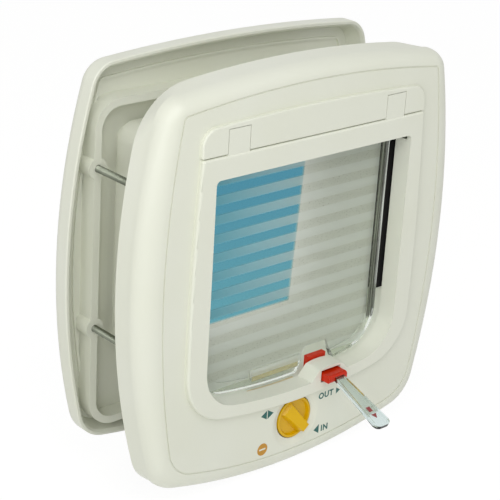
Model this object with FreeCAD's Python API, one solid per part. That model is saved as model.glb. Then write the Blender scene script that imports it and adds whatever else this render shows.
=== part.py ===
import FreeCAD, Part
import math
import os

# Four-way cat flap for a door or wall, in millimetres.
# X runs along the width, +Y goes from the room through the door, +Z is up.
# Origin: middle of the passage, on the face where the room-side frame meets the door.

V = FreeCAD.Vector

# Barrel outline of the room-side frame, at its edge and where it meets the door
RIM_HALF_WIDTH = 110.4
RIM_TOP = 114.8
RIM_BOTTOM = 115.4
RIM_WIDEST = 7.7
SIDE_RADIUS = 358.0
TOP_RADIUS = 645.0
BOTTOM_RADIUS = 331.0
EDGE_CORNER_TOP = 15.5
EDGE_CORNER_BOTTOM = 20.7
BACK_CORNER_TOP = 35.6
BACK_CORNER_BOTTOM = 21.8
SMALLEST_CORNER = 1.2

# Flat panel of the face, from which the cover rolls over to its edge
PANEL_HALF = 97.0
PANEL_TOP = 106.7
PANEL_BOTTOM = 104.7
PANEL_SIDE_RADIUS = 485.0
PANEL_TOP_RADIUS = 630.0
PANEL_BOTTOM_RADIUS = 316.0
PANEL_CORNER_TOP = 3.4
PANEL_CORNER_BOTTOM = 21.0
ROLL_SECTIONS = 6
GROOVE_INSET = 0.3
GROOVE_WIDTH = 0.8
GROOVE_DEPTH = 0.5

# Room-side frame: cover in front, flared base behind
FRAME_DEPTH = 20.0
BASE_DEPTH = 10.0
COVER_INSET = 0.5
PARTING_STEP = 0.4
COVER_WALL = 2.4
COVER_HOLLOW = 7.0
BASE_WALL = 2.2
FLOOR_THICK = 2.4
SEAM = 0.35

# Passage tunnel behind the frame
TUNNEL_HALF = 71.6
TUNNEL_TOP = 74.0
TUNNEL_BOTTOM = 68.4
TUNNEL_CORNER = 26.6
TUNNEL_CORNER_TOP = 8.0
TUNNEL_WALL = 2.2
TUNNEL_END = 49.0
TUNNEL_START = 1.0
SOCKET_LENGTH = 5.0

# Window, a step smaller than the passage, and the bezel round it
WINDOW_SIDE_STEP = 3.3
WINDOW_TOP_STEP = 8.6
WINDOW_SILL_STEP = 3.0
WINDOW_CORNER_TOP = 2.6
WINDOW_CORNER_BOTTOM = 24.0
SILL_RADIUS = 314.0
BEZEL_PROUD = 2.9
BEZEL_SIDE = 12.3
BEZEL_ABOVE = 11.8
BEZEL_BELOW = 7.6
BEZEL_SIDE_RADIUS = 1340.0
BEZEL_WIDEST = -20.0
BEZEL_CORNER = 30.0
BEZEL_WALL = 2.0
BEZEL_WALL_DEPTH = 8.1
BEZEL_WALL_SHORT = 3.4
BEZEL_ROUND = 1.3

# Hinge cover bar above the bezel, and the two bezel tabs let into it
BAR_SHORT = 3.2
BAR_HEIGHT = 17.2
BAR_RADIUS = 1110.0
BAR_CORNER = 9.0
BAR_PROUD = 2.3
BAR_ROUND = 0.9
TAB_FROM_END = 16.0
TAB_WIDTH = 13.6
TAB_HEIGHT = 13.1

# Outdoor frame
DOOR_GAP = 42.6
REAR_DEPTH = 13.0
REAR_HALF_WIDTH = 109.3
REAR_TOP = 115.0
REAR_BOTTOM = 104.6
REAR_SIDE_RADIUS = 362.0
REAR_TOP_RADIUS = 960.0
REAR_BOTTOM_RADIUS = 500.0
REAR_CORNER_TOP = 15.0
REAR_CORNER_BOTTOM = 20.0
REAR_WALL = 2.6
REAR_EDGE = 6.0
REAR_DRAFT = 3.4
RIM_ROUND = 0.8
STEP_INSET = 11.0
STEP_HEIGHT = 1.2
COLLAR_INSIDE_SCREWS = 1.9
COLLAR_TOP = 87.6
COLLAR_BOTTOM = 87.4
COLLAR_CORNER = 12.0
COLLAR_WALL = 4.2
SLEEVE_CLEAR = 0.4
SLEEVE_WALL = 2.2
SLEEVE_LENGTH = 24.0

# Long screws that clamp the frames through the door
SCREW_HIGH = 56.6
SCREW_LOW = -31.9
SCREW_RADIUS = 2.0
SCREW_WAIST = 1.75
SCREW_SHOULDER = 1.0
SCREW_HEAD_RADIUS = 3.8
SCREW_HEAD_HEIGHT = 2.3
SCREW_CLEAR = 0.06
SCREW_INWARD = 0.5
BOSS_RADIUS = 4.6
REAR_BOSS_RADIUS = 5.5

# Flap with its axle
AXLE_BEHIND_FACE = 11.5
AXLE_BELOW_TOP = 5.4
AXLE_RADIUS = 1.5
AXLE_CLEAR = 0.06
EYE_RADIUS = 2.9
EYE_LENGTH = 22.0
FLAP_SIDE_GAP = 6.2
FLAP_BELOW_AXLE = 2.2
FLAP_GAP_BELOW = 1.2
FLAP_CORNER = 23.0
FLAP_LEAF = 2.0
FLAP_RIM = 3.6
FLAP_RIM_WIDTH = 6.0
POCKET_HALF = 8.0
POCKET_TOP = 50.2
POCKET_FLARE = 6.4
LUG_GAP = 1.2
LUG_FRONT = 3.3
LUG_BELOW = 4.6
LUG_ABOVE = 4.0

# Magnets and side seals
MAGNET_LEFT = -25.0
MAGNET_RIGHT = 8.4
MAGNET_LOW = -60.4
MAGNET_HIGH = -55.4
MAGNET_THICK = 2.6
MAGNET_FRAME = 2.0
MAGNET_CLEAR = 0.1
SILL_MAGNET_THICK = 1.6
SILL_MAGNET_DEPTH = 3.0
SILL_MAGNET_IN = 0.8
SEAL_GAP = 0.5
SEAL_FRONT = 1.5
SEAL_DEPTH = 3.8
SEAL_TOP = 60.0
SEAL_LOW = -28.0

# Passage indicator: red rocker in the bezel's hood, with a clear pointer
ROCKER_X = 21.6
ROCKER_HALF = 6.6
ROCKER_PROUD = 9.0
ROCKER_LENGTH = 21.0
ROCKER_PIVOT_Y = -17.4
ROCKER_PIVOT_Z = -63.7
ROCKER_THICK = 4.4
ROCKER_ROUND = 1.5
FINGER_TOP = -56.5
FINGER_THICK = 3.2
HOOD_CLEAR = 0.6
HOOD_WALL = 1.6
HOOD_SKIRT = 6.5
HOOD_CROWN = 0.9
HOOD_ROOF = -60.0
HOOD_FLOOR = -67.2
HOOD_SHOULDER = 3.2
PIN_RADIUS = 1.1
PIN_SINK = 1.2
POINTER_LENGTH = 38.5
POINTER_ROOT_WIDTH = 6.6
POINTER_WIDTH = 11.6
POINTER_CORNER = 3.4
POINTER_THICK = 2.0
POINTER_RIM = 1.3
POINTER_RECESS = 0.7
POINTER_TILT = 21.3
POINTER_ROOT = 3.0
POINTER_DROP = 0.2
POINTER_ASIDE = 0.6

# Four-position knob in its well
KNOB_Z = -85.6
KNOB_RADIUS = 11.9
KNOB_RIM = 1.2
KNOB_RIM_HEIGHT = 1.5
KNOB_BEVEL = 0.8
KNOB_DISC = 1.2
KNOB_GAP = 0.3
DISH_RADIUS = 16.5
DISH_DEPTH = 1.6
DISH_ROUND = 3.0
WELL_CLEAR = 0.6
WELL_DEPTH = 4.0
WELL_WALL = 1.2
GRIP_ANGLE = -50.0
GRIP_TAIL = 7.5
GRIP_TAIL_WIDE = 7.0
GRIP_TAIL_HEIGHT = 1.8
GRIP_NOSE = 8.0
GRIP_NOSE_WIDE = 5.0
GRIP_NOSE_HEIGHT = 6.3
GRIP_DRAFT = 1.3
SHAFT_RADIUS = 3.4
SHAFT_CLEAR = 0.08
SHAFT_END = 2.0
NECK_RADIUS = 2.5
CLIP_RADIUS = 6.2
CLIP_THICK = 1.0
CLIP_GAP = 0.2
CLIP_MOUTH = 4.0

# Latches that rise beside the flap's lower edge
LATCH_FROM_SIDE = 31.4
LATCH_WIDTH = 8.0
LATCH_THICK = 1.0
LATCH_CLEAR = 0.3
LATCH_TOP = -64.6
LATCH_LENGTH = 13.0
LATCH_ROUND = 1.6
GUIDE_WALL = 1.6
GUIDE_DROP = 7.0

# Stiffening ribs behind the base floor
RIB_THICK = 1.4
RIB_SHORT = 1.0
RIB_PITCH = 30.0

# How far cutting tools overshoot, and how near counts as touching
OVER = 1.0
NEAR = 0.01

FACE_Y = -FRAME_DEPTH
PART_Y = -BASE_DEPTH
FLOOR_BACK = PART_Y + FLOOR_THICK
BEZEL_Y = FACE_Y - BEZEL_PROUD
BEZEL_END = FACE_Y + BEZEL_WALL_DEPTH
REAR_FACE = DOOR_GAP + REAR_DEPTH
REAR_FLOOR = REAR_FACE - REAR_WALL
WELL_FLOOR = FACE_Y + WELL_DEPTH
CLIP_Y = WELL_FLOOR + WELL_WALL + CLIP_GAP
AXLE_Y = FACE_Y + AXLE_BEHIND_FACE
AXLE_Z = TUNNEL_TOP - AXLE_BELOW_TOP
WINDOW_HALF = TUNNEL_HALF - WINDOW_SIDE_STEP
WINDOW_TOP = TUNNEL_TOP - WINDOW_TOP_STEP
WINDOW_BOTTOM = TUNNEL_BOTTOM - WINDOW_SILL_STEP
BEZEL_HALF = WINDOW_HALF + BEZEL_SIDE
BEZEL_TOP = WINDOW_TOP + BEZEL_ABOVE
BEZEL_BOTTOM = WINDOW_BOTTOM + BEZEL_BELOW
BAR_HALF = BEZEL_HALF - BAR_SHORT
BAR_TOP = BEZEL_TOP + BAR_HEIGHT
TAB_OUTER = BAR_HALF - TAB_FROM_END
TAB_INNER = TAB_OUTER - TAB_WIDTH
TAB_TOP = BEZEL_TOP + TAB_HEIGHT
SCREW_X = (RIM_HALF_WIDTH + TUNNEL_HALF) / 2 - SCREW_INWARD
COLLAR_HALF = SCREW_X - COLLAR_INSIDE_SCREWS
FLAP_HALF = TUNNEL_HALF - FLAP_SIDE_GAP
FLAP_TOP = AXLE_Z - FLAP_BELOW_AXLE
FLAP_BOTTOM = WINDOW_BOTTOM - FLAP_GAP_BELOW
LUG_INNER = FLAP_HALF + LUG_GAP
LATCH_X = FLAP_HALF - LATCH_FROM_SIDE
ROCKER_FRONT = FACE_Y - ROCKER_PROUD
ROCKER_BACK = ROCKER_FRONT + ROCKER_LENGTH
ROCKER_LOW = ROCKER_PIVOT_Z - ROCKER_THICK / 2
ROCKER_HIGH = ROCKER_PIVOT_Z + ROCKER_THICK / 2


def meet(c1, r1, c2, r2, up):
    """Point where two circles in the XZ plane cross, on the +X side."""
    dx, dz = c2[0] - c1[0], c2[1] - c1[1]
    d = math.hypot(dx, dz)
    a = (r1 * r1 - r2 * r2 + d * d) / (2 * d)
    h = math.sqrt(max(r1 * r1 - a * a, 0.0))
    found = []
    for s in (1, -1):
        found.append((c1[0] + (a * dx - s * h * dz) / d, c1[1] + (a * dz + s * h * dx) / d))
    found.sort(key=lambda p: p[1] * up)
    return found[-1]


def end_data(half, height, side_r, side_z, end_r, r, up):
    """Corner centre and its two tangent points, for the +X corner at the top or bottom."""
    if end_r and side_r:
        side_c = (half - side_r, side_z)
        end_c = (0.0, up * (height - end_r))
        c = meet(side_c, side_r - r, end_c, end_r - r, up)
    elif end_r:
        side_c = None
        end_c = (0.0, up * (height - end_r))
        x = half - r
        c = (x, end_c[1] + up * math.sqrt((end_r - r) ** 2 - x * x))
    elif side_r:
        side_c = (half - side_r, side_z)
        end_c = None
        z = up * (height - r)
        c = (side_c[0] + math.sqrt((side_r - r) ** 2 - (z - side_z) ** 2), z)
    else:
        side_c = None
        end_c = None
        c = (half - r, up * (height - r))
    on_side = (c[0] + r, c[1])
    if side_c:
        k = side_r / (side_r - r)
        on_side = (side_c[0] + (c[0] - side_c[0]) * k, side_c[1] + (c[1] - side_c[1]) * k)
    on_end = (c[0], c[1] + up * r)
    if end_c:
        k = end_r / (end_r - r)
        on_end = (end_c[0] + (c[0] - end_c[0]) * k, end_c[1] + (c[1] - end_c[1]) * k)
    return c, on_side, on_end


def outline(y, half, top, bottom, r_top, r_bottom, side_r=0, side_z=0.0, top_r=0, bottom_r=0):
    """Closed wire: four sides, straight or bowed, with rounded corners."""
    r_top = max(r_top, SMALLEST_CORNER)
    r_bottom = max(r_bottom, SMALLEST_CORNER)
    ct, st, et = end_data(half, top, side_r, side_z, top_r, r_top, 1)
    cb, sb, eb = end_data(half, bottom, side_r, side_z, bottom_r, r_bottom, -1)

    def at(p, sx):
        return V(sx * p[0], y, p[1])

    def corner(c, a, b, r, sx):
        mx, mz = a[0] + b[0] - 2 * c[0], a[1] + b[1] - 2 * c[1]
        k = r / math.hypot(mx, mz)
        return Part.Arc(at(a, sx), V(sx * (c[0] + mx * k), y, c[1] + mz * k), at(b, sx)).toShape()

    def side(sx):
        if side_r:
            return Part.Arc(at(sb, sx), V(sx * half, y, side_z), at(st, sx)).toShape()
        return Part.makeLine(at(sb, sx), at(st, sx))

    def end(e, radius, height):
        if radius:
            return Part.Arc(at(e, 1), V(0, y, height), at(e, -1)).toShape()
        return Part.makeLine(at(e, 1), at(e, -1))

    edges = [side(1), corner(ct, st, et, r_top, 1), end(et, top_r, top)]
    edges += [corner(ct, et, st, r_top, -1), side(-1), corner(cb, sb, eb, r_bottom, -1)]
    edges += [end(eb, bottom_r, -bottom), corner(cb, eb, sb, r_bottom, 1)]
    return Part.Wire(Part.__sortEdges__(edges))


def barrel(sizes, inset, y):
    """Barrel outline from its eight sizes, each moved inwards by inset."""
    half, top, bottom, r_top, r_bottom, side_r, top_r, bottom_r = [size - inset for size in sizes]
    return outline(y, half, top, bottom, r_top, r_bottom,
                   side_r=side_r, side_z=RIM_WIDEST, top_r=top_r, bottom_r=bottom_r)


def edge(inset, y):
    """The frame's outline where cover and base part."""
    sizes = (RIM_HALF_WIDTH, RIM_TOP, RIM_BOTTOM, EDGE_CORNER_TOP, EDGE_CORNER_BOTTOM)
    return barrel(sizes + (SIDE_RADIUS, TOP_RADIUS, BOTTOM_RADIUS), inset, y)


def back_edge(inset, y):
    """The frame's outline at the door."""
    sizes = (RIM_HALF_WIDTH, RIM_TOP, RIM_BOTTOM, BACK_CORNER_TOP, BACK_CORNER_BOTTOM)
    return barrel(sizes + (SIDE_RADIUS, TOP_RADIUS, BOTTOM_RADIUS), inset, y)


def rolled(share, y):
    """Outline part of the way from the cover's edge (0) to the flat panel (1)."""
    edge_sizes = (RIM_HALF_WIDTH, RIM_TOP, RIM_BOTTOM, EDGE_CORNER_TOP, EDGE_CORNER_BOTTOM,
                  SIDE_RADIUS, TOP_RADIUS, BOTTOM_RADIUS)
    panel_sizes = (PANEL_HALF, PANEL_TOP, PANEL_BOTTOM, PANEL_CORNER_TOP, PANEL_CORNER_BOTTOM,
                   PANEL_SIDE_RADIUS, PANEL_TOP_RADIUS, PANEL_BOTTOM_RADIUS)
    sizes = []
    for outer, inner in zip(edge_sizes, panel_sizes):
        start = outer - COVER_INSET
        sizes.append(start + (inner - start) * share)
    return barrel(sizes, 0, y)


def window(grow, y):
    """The bezel's window outline, moved outwards by grow."""
    return outline(
        y, WINDOW_HALF + grow, WINDOW_TOP + grow, WINDOW_BOTTOM + grow,
        WINDOW_CORNER_TOP + grow, WINDOW_CORNER_BOTTOM + grow, bottom_r=SILL_RADIUS + grow)


def tunnel(grow, y):
    """The passage's outline, moved outwards by grow."""
    return outline(
        y, TUNNEL_HALF + grow, TUNNEL_TOP + grow, TUNNEL_BOTTOM + grow,
        TUNNEL_CORNER_TOP + grow, TUNNEL_CORNER + grow, bottom_r=SILL_RADIUS + grow)


def dish(inset, y):
    """The outdoor frame's outline, moved inwards by inset."""
    return outline(
        y, REAR_HALF_WIDTH - inset, REAR_TOP - inset, REAR_BOTTOM - inset,
        REAR_CORNER_TOP - inset, REAR_CORNER_BOTTOM - inset,
        side_r=REAR_SIDE_RADIUS - inset, top_r=REAR_TOP_RADIUS - inset, bottom_r=REAR_BOTTOM_RADIUS - inset)


def prism(wire, y1):
    """Solid between a wire's plane and the plane at y1."""
    y0 = wire.BoundBox.Center.y
    return Part.Face(wire).extrude(V(0, y1 - y0, 0))


def box(x0, x1, y0, y1, z0, z1):
    return Part.makeBox(x1 - x0, y1 - y0, z1 - z0, V(x0, y0, z0))


def rod(radius, x, z, y0, y1):
    """Round bar along Y."""
    return Part.makeCylinder(radius, y1 - y0, V(x, y0, z), V(0, 1, 0))


def bar(radius, y, z, x0, x1):
    """Round bar along X."""
    return Part.makeCylinder(radius, x1 - x0, V(x0, y, z), V(1, 0, 0))


def edges_at(shape, y):
    """Edges that lie in the plane at y."""
    found = []
    for e in shape.Edges:
        b = e.BoundBox
        if abs(b.YMin - y) < NEAR and abs(b.YMax - y) < NEAR:
            found.append(e)
    return found


def save(name, shape):
    shape = shape.removeSplitter()
    shape.exportStep(os.path.join("parts", name + ".step"))
    return shape


SCREWS = {
    "upper_left": (-SCREW_X, SCREW_HIGH),
    "upper_right": (SCREW_X, SCREW_HIGH),
    "lower_left": (-SCREW_X, SCREW_LOW),
    "lower_right": (SCREW_X, SCREW_LOW),
}


def front_cover():
    """Moulded face: rolled edge, panel groove, bezel opening, and the knob's dish and well."""
    sections = []
    for k in range(ROLL_SECTIONS + 1):
        turn = math.pi / 2 * k / ROLL_SECTIONS
        depth = (PART_Y - FACE_Y) * (1 - math.sin(turn))
        sections.append(rolled(1 - math.cos(turn), FACE_Y + depth))
    shell = Part.makeLoft(sections, True, False)
    back = FACE_Y + COVER_WALL
    inner = prism(edge(COVER_INSET + COVER_WALL, back), PART_Y)
    inner = inner.makeFillet(COVER_HOLLOW, edges_at(inner, back))
    shell = shell.cut(inner)
    sizes = (PANEL_HALF, PANEL_TOP, PANEL_BOTTOM, PANEL_CORNER_TOP, PANEL_CORNER_BOTTOM,
             PANEL_SIDE_RADIUS, PANEL_TOP_RADIUS, PANEL_BOTTOM_RADIUS)
    outer_side = prism(barrel(sizes, GROOVE_INSET, FACE_Y - OVER), FACE_Y + GROOVE_DEPTH)
    inner_side = prism(barrel(sizes, GROOVE_INSET + GROOVE_WIDTH, FACE_Y - OVER), FACE_Y + GROOVE_DEPTH)
    shell = shell.cut(outer_side.cut(inner_side))
    well = WELL_CLEAR + KNOB_RADIUS
    shell = shell.fuse(rod(well + WELL_WALL, 0, KNOB_Z, FACE_Y, WELL_FLOOR + WELL_WALL))
    shell = shell.cut(Part.makeCone(DISH_RADIUS, well, DISH_DEPTH, V(0, FACE_Y, KNOB_Z), V(0, 1, 0)))
    lip = [e for e in edges_at(shell, FACE_Y) if abs(e.BoundBox.XMax - DISH_RADIUS) < NEAR]
    shell = shell.makeFillet(DISH_ROUND, lip)
    shell = shell.cut(rod(well, 0, KNOB_Z, FACE_Y, WELL_FLOOR))
    shell = shell.cut(rod(SHAFT_RADIUS + SHAFT_CLEAR, 0, KNOB_Z, FACE_Y, 0))
    return shell.cut(prism(tunnel(0, FACE_Y - OVER), PART_Y + OVER))


def hinge_bar():
    """Raised bar over the flap's axle, arched along its top, with two slots for the bezel's tabs."""
    y = FACE_Y - BAR_PROUD
    low = -(BEZEL_TOP + SEAM)
    wire = outline(y, BAR_HALF, BAR_TOP, low, BAR_CORNER, 0, top_r=BAR_RADIUS)
    body = prism(wire, FACE_Y)
    body = body.makeFillet(BAR_ROUND, edges_at(body, y))
    for sx in (-1, 1):
        ends = sorted((sx * (TAB_INNER - SEAM), sx * (TAB_OUTER + SEAM)))
        body = body.cut(box(ends[0], ends[1], y - OVER, FACE_Y, BEZEL_TOP, TAB_TOP + SEAM))
    return body


def hood():
    """Low arched hood over the rocker: a profile pushed along Y, and the room inside it."""
    inside = ROCKER_HALF + HOOD_CLEAR
    half = inside + HOOD_WALL
    base = -WINDOW_BOTTOM - BEZEL_WALL / 2
    top = HOOD_ROOF + HOOD_WALL - HOOD_CROWN
    feet = [V(ROCKER_X + s * (half + HOOD_SKIRT), BEZEL_Y, base) for s in (-1, 1)]
    crown = [V(ROCKER_X + s * half, BEZEL_Y, top) for s in (-1, 1)]
    arch = Part.Arc(crown[0], V(ROCKER_X, BEZEL_Y, top + HOOD_CROWN), crown[1]).toShape()
    rise = Part.makeLine(feet[0], crown[0])
    fall = Part.makeLine(crown[1], feet[1])
    wire = Part.Wire([rise, arch, fall, Part.makeLine(feet[1], feet[0])])
    body = Part.Face(wire).extrude(V(0, BEZEL_END - BEZEL_Y, 0))
    shoulders = []
    for e in body.Edges:
        b = e.BoundBox
        if b.YLength > NEAR and b.ZMin > top - NEAR:
            shoulders.append(e)
    body = body.makeFillet(HOOD_SHOULDER, shoulders)
    body = body.common(prism(window(BEZEL_WALL / 2, BEZEL_Y), BEZEL_END))
    left, right = ROCKER_X - inside, ROCKER_X + inside
    return body, box(left, right, BEZEL_Y - OVER, BEZEL_END + OVER, HOOD_FLOOR, HOOD_ROOF)


def window_bezel():
    """Bezel: proud flange, deep sill wall on three sides, two hinge-side tabs and the rocker's hood."""
    flange = prism(
        outline(BEZEL_Y, BEZEL_HALF, BEZEL_TOP, BEZEL_BOTTOM, 0, BEZEL_CORNER,
                side_r=BEZEL_SIDE_RADIUS, side_z=BEZEL_WIDEST, bottom_r=SILL_RADIUS), FACE_Y)
    flange = flange.makeFillet(BEZEL_ROUND, edges_at(flange, BEZEL_Y))
    wall = prism(window(BEZEL_WALL, BEZEL_Y + BEZEL_ROUND), BEZEL_END)
    wall_top = WINDOW_TOP - BEZEL_WALL_SHORT
    wall = wall.cut(box(-RIM_HALF_WIDTH, RIM_HALF_WIDTH, FACE_Y, 0, wall_top, RIM_TOP))
    body = flange.fuse(wall)
    body = body.cut(prism(window(0, BEZEL_Y - OVER), 0))
    arch, hollow = hood()
    body = body.fuse(arch).cut(hollow)
    for sx in (-1, 1):
        ends = sorted((sx * TAB_INNER, sx * TAB_OUTER))
        tab = box(ends[0], ends[1], FACE_Y - BAR_PROUD, FACE_Y, BEZEL_TOP - OVER, TAB_TOP)
        body = body.fuse(tab)
    pin = PIN_RADIUS + AXLE_CLEAR
    reach = ROCKER_HALF + HOOD_CLEAR + PIN_SINK
    return body.cut(bar(pin, ROCKER_PIVOT_Y, ROCKER_PIVOT_Z, ROCKER_X - reach, ROCKER_X + reach))


def front_base():
    """Flared tray behind the cover: floor, screw bosses, ribs, axle lugs and latch guides."""
    front = COVER_INSET + PARTING_STEP
    outer = Part.makeLoft([edge(front, PART_Y), back_edge(0, 0)], True, True)
    inner = Part.makeLoft([edge(front + BASE_WALL, FLOOR_BACK), back_edge(BASE_WALL, 0)], True, True)
    body = outer.cut(inner)
    socket = TUNNEL_WALL + SEAM + BASE_WALL
    body = body.fuse(prism(tunnel(TUNNEL_WALL, FLOOR_BACK), TUNNEL_START))
    body = body.fuse(prism(tunnel(socket, TUNNEL_START - BASE_WALL), TUNNEL_START + SOCKET_LENGTH))
    body = body.cut(prism(tunnel(TUNNEL_WALL + SEAM, TUNNEL_START), TUNNEL_START + SOCKET_LENGTH))
    passage = prism(tunnel(0, FACE_Y), TUNNEL_START)
    body = body.cut(passage)
    for x, z in SCREWS.values():
        body = body.fuse(rod(BOSS_RADIUS, x, z, FLOOR_BACK, -RIB_SHORT))
    room = prism(tunnel(TUNNEL_WALL / 2, PART_Y), TUNNEL_START)
    field = prism(edge(BASE_WALL * 2, FLOOR_BACK), -RIB_SHORT)
    field = field.common(prism(back_edge(BASE_WALL * 2, FLOOR_BACK), -RIB_SHORT)).cut(room)
    ribs = []
    count = int(RIM_TOP // RIB_PITCH)
    for k in range(-count, count + 1):
        at = k * RIB_PITCH
        ribs.append(box(-RIM_HALF_WIDTH, RIM_HALF_WIDTH, FLOOR_BACK, -RIB_SHORT, at, at + RIB_THICK))
        ribs.append(box(at, at + RIB_THICK, FLOOR_BACK, -RIB_SHORT, -RIM_BOTTOM, RIM_TOP))
    grid = ribs[0].multiFuse(ribs[1:]).common(field)
    body = body.fuse(grid)
    for sx in (-1, 1):
        ends = sorted((sx * LUG_INNER, sx * (TUNNEL_HALF + TUNNEL_WALL)))
        lug = box(ends[0], ends[1], AXLE_Y - LUG_FRONT, 0, AXLE_Z - LUG_BELOW, AXLE_Z + LUG_ABOVE)
        body = body.fuse(lug)
    body = body.cut(bar(AXLE_RADIUS + AXLE_CLEAR, AXLE_Y, AXLE_Z, -TUNNEL_HALF, TUNNEL_HALF))
    c = LATCH_CLEAR / 2
    low = -(TUNNEL_BOTTOM + GUIDE_DROP)
    high = -TUNNEL_BOTTOM + BASE_WALL
    for sx, y0, y1 in latch_places():
        x0 = sx * LATCH_X - LATCH_WIDTH / 2
        x1 = x0 + LATCH_WIDTH
        guide = box(x0 - GUIDE_WALL, x1 + GUIDE_WALL, y0 - GUIDE_WALL, TUNNEL_START, low, high)
        body = body.fuse(guide.cut(passage))
        body = body.cut(box(x0 - c, x1 + c, y0 - c, y1 + c, -RIM_BOTTOM, LATCH_TOP + LATCH_CLEAR))
    for x, z in SCREWS.values():
        body = body.cut(rod(SCREW_RADIUS + SCREW_CLEAR, x, z, PART_Y - OVER, OVER))
    return body.cut(sill_strip(MAGNET_CLEAR))


def latch_places():
    """Side and Y span of each latch: the room-side one left, the door-side one right."""
    front = AXLE_Y - FLAP_RIM / 2 - LATCH_CLEAR
    back = AXLE_Y + FLAP_RIM / 2 + LATCH_CLEAR
    return [(-1, front - LATCH_THICK, front), (1, back, back + LATCH_THICK)]


def latch(index):
    """Flat latch blade, down and clear of the flap."""
    sx, y0, y1 = latch_places()[index]
    x0 = sx * LATCH_X - LATCH_WIDTH / 2
    blade = box(x0, x0 + LATCH_WIDTH, y0, y1, LATCH_TOP - LATCH_LENGTH, LATCH_TOP)
    upright = []
    for e in blade.Edges:
        b = e.BoundBox
        if b.YLength > LATCH_THICK / 2 and b.ZMin > LATCH_TOP - NEAR:
            upright.append(e)
    return blade.makeFillet(LATCH_ROUND, upright)


def tunnel_sleeve():
    """Thin-walled passage, seated in the base's socket and reaching into the outdoor frame."""
    wall = prism(tunnel(TUNNEL_WALL, TUNNEL_START), TUNNEL_END)
    return wall.cut(prism(tunnel(0, TUNNEL_START), TUNNEL_END))


def collar(grow, y):
    """Outline of the outdoor frame's raised collar."""
    return outline(y, COLLAR_HALF + grow, COLLAR_TOP + grow, COLLAR_BOTTOM + grow,
                   COLLAR_CORNER + grow, COLLAR_CORNER + grow)


def rear_frame():
    """Outdoor dish: rounded back, thin rim, drafted wall, step, collar with screw bosses, inner sleeve."""
    body = prism(dish(0, DOOR_GAP), REAR_FACE)
    body = body.makeFillet(REAR_EDGE, edges_at(body, REAR_FACE))
    body = body.makeFillet(RIM_ROUND, edges_at(body, DOOR_GAP))
    inside = [dish(REAR_WALL, DOOR_GAP), dish(REAR_WALL + REAR_DRAFT, REAR_FLOOR)]
    body = body.cut(Part.makeLoft(inside, True, True))
    bevel = [dish(REAR_WALL - RIM_ROUND, DOOR_GAP), dish(REAR_WALL + RIM_ROUND, DOOR_GAP + RIM_ROUND * 2)]
    body = body.cut(Part.makeLoft(bevel, True, True))
    step = prism(dish(STEP_INSET, REAR_FLOOR - STEP_HEIGHT), REAR_FLOOR)
    step = step.cut(prism(dish(STEP_INSET + RIB_THICK, REAR_FLOOR - STEP_HEIGHT), REAR_FLOOR))
    body = body.fuse(step).fuse(prism(collar(COLLAR_WALL, DOOR_GAP), REAR_FLOOR))
    body = body.cut(prism(collar(0, DOOR_GAP), REAR_FLOOR))
    for x, z in SCREWS.values():
        body = body.fuse(rod(REAR_BOSS_RADIUS, x, z, DOOR_GAP, REAR_FLOOR))
    body = body.fuse(prism(tunnel(-SLEEVE_CLEAR, REAR_FACE - SLEEVE_LENGTH), REAR_FACE))
    bore = tunnel(-SLEEVE_CLEAR - SLEEVE_WALL, REAR_FACE - SLEEVE_LENGTH - OVER)
    body = body.cut(prism(bore, REAR_FACE + OVER))
    for x, z in SCREWS.values():
        body = body.cut(rod(SCREW_RADIUS + SCREW_CLEAR, x, z, DOOR_GAP - OVER, REAR_FLOOR))
    return body


def screw(name):
    """Pan-head screw: full shank in both frames, the thread's pitch radius on the free stretch between."""
    x, z = SCREWS[name]
    head = rod(SCREW_HEAD_RADIUS, x, z, PART_Y - SCREW_HEAD_HEIGHT, PART_Y)
    head = head.makeFillet(SCREW_HEAD_HEIGHT / 2, edges_at(head, PART_Y - SCREW_HEAD_HEIGHT))
    free_end = DOOR_GAP - SCREW_SHOULDER
    shank = rod(SCREW_RADIUS, x, z, PART_Y, 0).fuse(rod(SCREW_WAIST, x, z, 0, free_end))
    shank = shank.fuse(rod(SCREW_RADIUS, x, z, free_end, REAR_FLOOR - RIB_SHORT))
    return head.fuse(shank)


def flap_outline(inset, y):
    return outline(y, FLAP_HALF - inset, FLAP_TOP - inset, FLAP_BOTTOM - inset,
                   0, FLAP_CORNER - inset, bottom_r=SILL_RADIUS - FLAP_GAP_BELOW - inset)


def pocket(front, back):
    """Notch in the flap's lower edge: wider below, where it passes over the hood."""
    high, low = POCKET_HALF, POCKET_HALF + POCKET_FLARE
    pts = [V(ROCKER_X - high, front, -POCKET_TOP), V(ROCKER_X + high, front, -POCKET_TOP)]
    pts += [V(ROCKER_X + low, front, -FLAP_BOTTOM), V(ROCKER_X - low, front, -FLAP_BOTTOM)]
    return Part.Face(Part.makePolygon(pts + pts[:1])).extrude(V(0, back - front, 0))


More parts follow.
